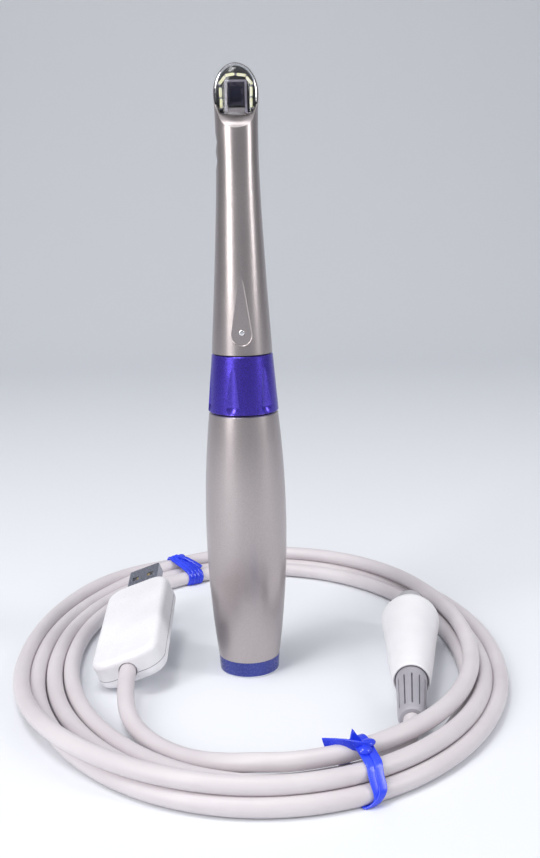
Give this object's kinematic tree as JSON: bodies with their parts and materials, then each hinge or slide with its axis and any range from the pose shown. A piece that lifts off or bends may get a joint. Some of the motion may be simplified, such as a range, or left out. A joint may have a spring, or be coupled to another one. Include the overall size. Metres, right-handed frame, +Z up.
{
  "type": "intraoral camera",
  "caption": "Slim dental camera handpiece with a turning focus ring, lens window and lights at the head, standing in its coiled detachable lead with box and plug.",
  "frame": {"origin": "middle of the base that the handpiece stands on", "axes": "+Z up along the handpiece, lens window looking along -Y, +X to the right of a viewer who faces the window"},
  "size_m": [0.1672, 0.207, 0.2],
  "materials": {
    "satin_metal": "satin champagne",
    "ring_metal": "satin anodised",
    "band_blue": "satin",
    "base_plastic": "satin",
    "black_plastic": "satin",
    "grey_plastic": "matte",
    "board_green": "satin",
    "board_black": "satin",
    "contact_metal": "polished",
    "seal_rubber": "matte",
    "window_clear": "polished",
    "lens_glass": "polished",
    "prism_glass": "polished",
    "frame_metal": "satin",
    "light_yellow": "gloss",
    "sensor_dark": "gloss",
    "white_plastic": "gloss",
    "grey_rubber": "matte",
    "cable_jacket": "satin",
    "plug_metal": "polished",
    "tongue_plastic": "satin",
    "tie_blue": "gloss"
  },
  "bodies": {
    "handpiece": {"rear_housing": "satin_metal", "label_band": "band_blue", "base_cap": "base_plastic", "socket_insert": "black_plastic", "socket_contacts": "contact_metal", "chassis": "grey_plastic", "main_board": "board_green", "core_tube": "grey_plastic", "ring_seals": "seal_rubber", "neck_housing": "satin_metal", "touch_electrode": "plug_metal", "head_window": "window_clear", "objective_frame": "frame_metal", "objective_prism": "prism_glass", "lens_tube": "black_plastic", "relay_lenses": "lens_glass", "led_board": "board_black", "leds": "light_yellow", "plug_housing": "white_plastic", "plug_collar": "grey_plastic", "plug_insert": "black_plastic", "plug_pins": "contact_metal", "strain_relief": "grey_rubber", "cable_plug_lead": "cable_jacket", "cable_coil": "cable_jacket", "cable_box_lead": "cable_jacket", "box_gland": "grey_rubber", "box_top_shell": "white_plastic", "box_bottom_shell": "white_plastic", "box_board": "board_green", "usb_shell": "plug_metal", "usb_tongue": "tongue_plastic", "usb_contacts": "contact_metal", "tie_front": "tie_blue", "tie_back": "tie_blue"},
    "focus_ring": {"focus_ring": "ring_metal"},
    "focus_carriage": {"focus_carriage": "black_plastic", "sensor_board": "board_green", "image_sensor": "sensor_dark"}
  },
  "joints": [
    {"name": "focus_ring_turn", "type": "hinge", "parent": "handpiece", "child": "focus_ring", "pos_m": [0, 0, 0.1], "axis": [0, 0, 1], "range_deg": [0, 100]},
    {"name": "focus_carriage_slide", "type": "slide", "parent": "handpiece", "child": "focus_carriage", "axis": [0, 0, 1], "range_m": [0, 0.005]}
  ],
  "couplings": [
    {"joint": "focus_carriage_slide", "follows": "focus_ring_turn", "m_per_rad": 0.0028647}
  ]
}
